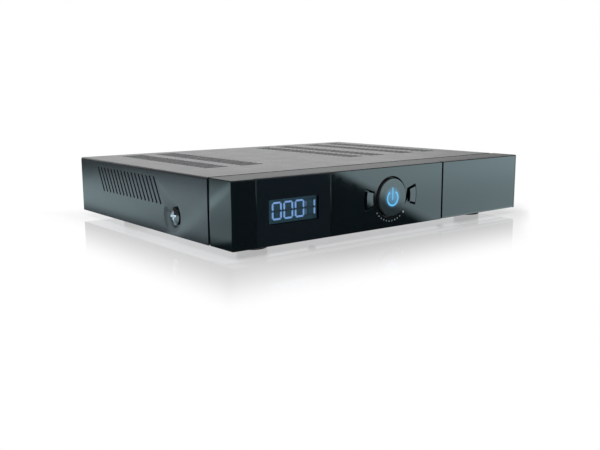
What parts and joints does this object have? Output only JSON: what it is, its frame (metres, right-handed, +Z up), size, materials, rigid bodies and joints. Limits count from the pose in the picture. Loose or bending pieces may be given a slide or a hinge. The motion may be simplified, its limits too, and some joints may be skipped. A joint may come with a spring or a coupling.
{
  "type": "satellite television receiver",
  "caption": "Slim table-top receiver: steel case with vented top and sides, glossy front with a digit window, a round power button between two arc keys, and a drop-down door.",
  "frame": {"origin": "middle of the object's box, on the surface that the feet stand on", "axes": "+Z up; the front faces -Y; +X to the right when seen from the front"},
  "size_m": [0.28, 0.2306, 0.048],
  "materials": {
    "black_paint": "satin paint",
    "steel": "bare sheet",
    "gloss_black": "high gloss",
    "smoked_window": "clear, smoked",
    "blue_light": "milky light guide, lit blue",
    "dark_rubber": "matt",
    "black_plastic": "moulded",
    "board": "solder mask",
    "bright_metal": "bright plated",
    "brass_nickel": "nickel plated",
    "aluminium": "bare",
    "ferrite": "matt core and winding",
    "grey_cable": "insulation",
    "glass": "clear tube"
  },
  "bodies": {
    "case": {"aerial_nut_in": "brass_nickel", "aerial_nut_out": "brass_nickel", "aerial_socket_in": "brass_nickel", "aerial_socket_out": "brass_nickel", "bezel_screw_left": "bright_metal", "bezel_screw_right": "bright_metal", "bottom_chassis": "steel", "bulk_capacitor": "black_plastic", "card_reader": "black_plastic", "chip_heatsink": "aluminium", "display_module": "black_plastic", "display_window": "smoked_window", "door_magnet": "bright_metal", "ethernet_jack": "bright_metal", "foot_front_left": "dark_rubber", "foot_front_right": "dark_rubber", "foot_rear_left": "dark_rubber", "foot_rear_right": "dark_rubber", "front_bezel": "gloss_black", "front_board": "board", "front_usb_socket": "bright_metal", "fuse": "glass", "hdmi_socket": "bright_metal", "infrared_eye": "black_plastic", "left_switch": "black_plastic", "main_board": "board", "main_chip": "black_plastic", "main_screw_left": "bright_metal", "main_screw_right": "bright_metal", "mains_inlet": "black_plastic", "module_cage": "bright_metal", "optical_socket": "black_plastic", "phono_block": "black_plastic", "power_lamp": "blue_light", "power_switch": "black_plastic", "rear_screw_left": "bright_metal", "rear_screw_middle": "bright_metal", "rear_screw_right": "bright_metal", "rear_usb_socket": "bright_metal", "ribbon_cable": "grey_cable", "right_switch": "black_plastic", "scart_socket": "black_plastic", "segment_plate": "blue_light", "side_screw_left": "bright_metal", "side_screw_right": "bright_metal", "supply_board": "board", "supply_harness": "grey_cable", "supply_heatsink": "aluminium", "supply_screw": "bright_metal", "switch_frame": "black_plastic", "top_cover": "black_paint", "transformer": "ferrite", "tuner_can": "bright_metal"},
    "power_button": {"power_cap": "gloss_black", "power_symbol": "blue_light"},
    "left_key_body": {"left_key": "gloss_black"},
    "right_key_body": {"right_key": "gloss_black"},
    "door": {"front_door": "gloss_black", "strike_plate": "bright_metal"},
    "mains_rocker": {"rocker": "black_plastic"}
  },
  "joints": [
    {"name": "power_press", "type": "slide", "parent": "case", "child": "power_button", "axis": [0, 1, 0], "range_m": [0, 0.001], "stiffness_N_per_m": 200, "springref_m": -0.002},
    {"name": "left_key_press", "type": "slide", "parent": "case", "child": "left_key_body", "axis": [0, 1, 0], "range_m": [0, 0.0008], "stiffness_N_per_m": 200, "springref_m": -0.002},
    {"name": "right_key_press", "type": "slide", "parent": "case", "child": "right_key_body", "axis": [0, 1, 0], "range_m": [0, 0.0008], "stiffness_N_per_m": 200, "springref_m": -0.002},
    {"name": "door_hinge", "type": "hinge", "parent": "case", "child": "door", "pos_m": [0.09155, -0.11205, 0.00665], "axis": [1, 0, 0], "range_deg": [0, 90]},
    {"name": "mains_rocker_tilt", "type": "hinge", "parent": "case", "child": "mains_rocker", "pos_m": [-0.0911, 0.1037, 0.022], "axis": [0, 0, 1], "range_deg": [0, 20]}
  ]
}
